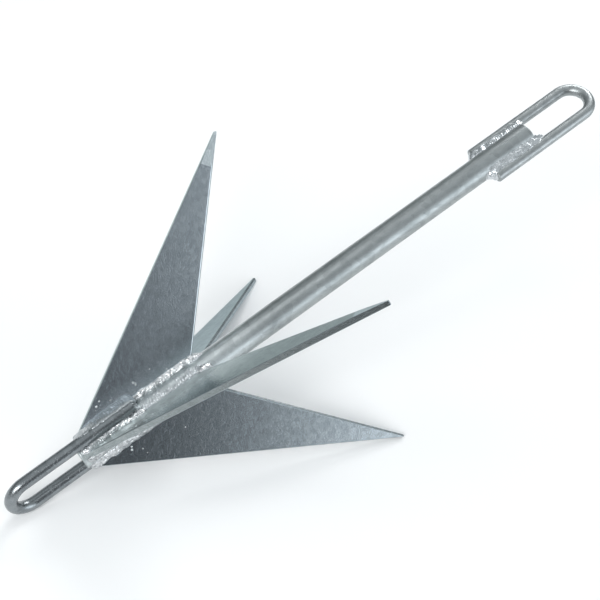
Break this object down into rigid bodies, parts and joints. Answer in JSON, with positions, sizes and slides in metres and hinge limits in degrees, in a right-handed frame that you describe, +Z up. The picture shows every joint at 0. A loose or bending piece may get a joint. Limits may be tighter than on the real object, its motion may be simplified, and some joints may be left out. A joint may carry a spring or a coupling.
{
  "type": "fluke anchor",
  "caption": "Welded, hot-dip galvanised boat anchor: a tube shank with flat triangular flukes standing out round its crown end, a trip-line eye at the crown and a long eye for the anchor line.",
  "frame": {"origin": "on the floor, under the middle of the bounding box, with the anchor set down on the points of its two lower flukes and on its trip eye", "axes": "+X runs under the shank from the trip eye towards the rode eye, the shank itself rising 17.35 degrees that way; +Z is up; the anchor is symmetric about the XZ plane"},
  "size_m": [0.6962, 0.2598, 0.247],
  "materials": {
    "galvanised_tube": "hot-dip galvanised steel tube, bright and streaky",
    "galvanised_plate": "hot-dip galvanised steel plate, blue-grey with fine spangle",
    "galvanised_bar": "hot-dip galvanised round steel bar, satin",
    "weld_metal": "lumpy galvanised weld metal, bright"
  },
  "bodies": {
    "root": {"fluke_bottom_left": "galvanised_plate", "fluke_bottom_right": "galvanised_plate", "fluke_top_left": "galvanised_plate", "fluke_top_right": "galvanised_plate", "rode_eye": "galvanised_bar", "shank_tube": "galvanised_tube", "trip_eye": "galvanised_bar", "weld_fluke_bottom_left_clockwise": "weld_metal", "weld_fluke_bottom_left_counter": "weld_metal", "weld_fluke_bottom_left_end": "weld_metal", "weld_fluke_bottom_right_clockwise": "weld_metal", "weld_fluke_bottom_right_counter": "weld_metal", "weld_fluke_bottom_right_end": "weld_metal", "weld_fluke_top_left_clockwise": "weld_metal", "weld_fluke_top_left_counter": "weld_metal", "weld_fluke_top_left_end": "weld_metal", "weld_fluke_top_right_clockwise": "weld_metal", "weld_fluke_top_right_counter": "weld_metal", "weld_fluke_top_right_end": "weld_metal", "weld_rode_eye_left_end": "weld_metal", "weld_rode_eye_left_lower": "weld_metal", "weld_rode_eye_left_upper": "weld_metal", "weld_rode_eye_right_end": "weld_metal", "weld_rode_eye_right_lower": "weld_metal", "weld_rode_eye_right_upper": "weld_metal", "weld_trip_eye_bottom_end": "weld_metal", "weld_trip_eye_bottom_left": "weld_metal", "weld_trip_eye_bottom_right": "weld_metal", "weld_trip_eye_top_end": "weld_metal", "weld_trip_eye_top_left": "weld_metal", "weld_trip_eye_top_right": "weld_metal"}
  },
  "joints": []
}
